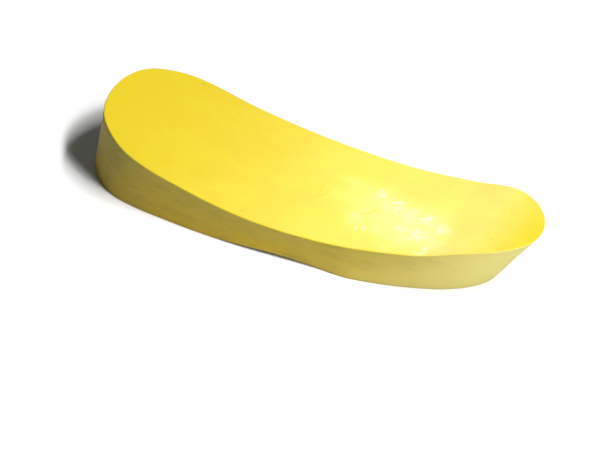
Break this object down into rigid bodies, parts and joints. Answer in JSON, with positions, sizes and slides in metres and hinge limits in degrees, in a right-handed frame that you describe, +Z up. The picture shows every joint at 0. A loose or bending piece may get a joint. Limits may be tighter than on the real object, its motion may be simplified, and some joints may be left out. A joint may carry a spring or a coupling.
{
  "type": "felling wedge",
  "caption": "One-piece moulded plastic felling wedge with a dished top, a thick rounded heel, a raked toe and a flat underside with a shallow relief.",
  "frame": {"origin": "middle of the footprint box, on the plane the underside rests on", "axes": "+X along the wedge towards the toe, +Z up, +Y completes the frame and is the direction the wedge is symmetric across"},
  "size_m": [0.2027, 0.0656, 0.0351],
  "materials": {
    "wedge_plastic": "satin yellow moulded plastic"
  },
  "bodies": {
    "root": {"wedge_body": "wedge_plastic"}
  },
  "joints": []
}
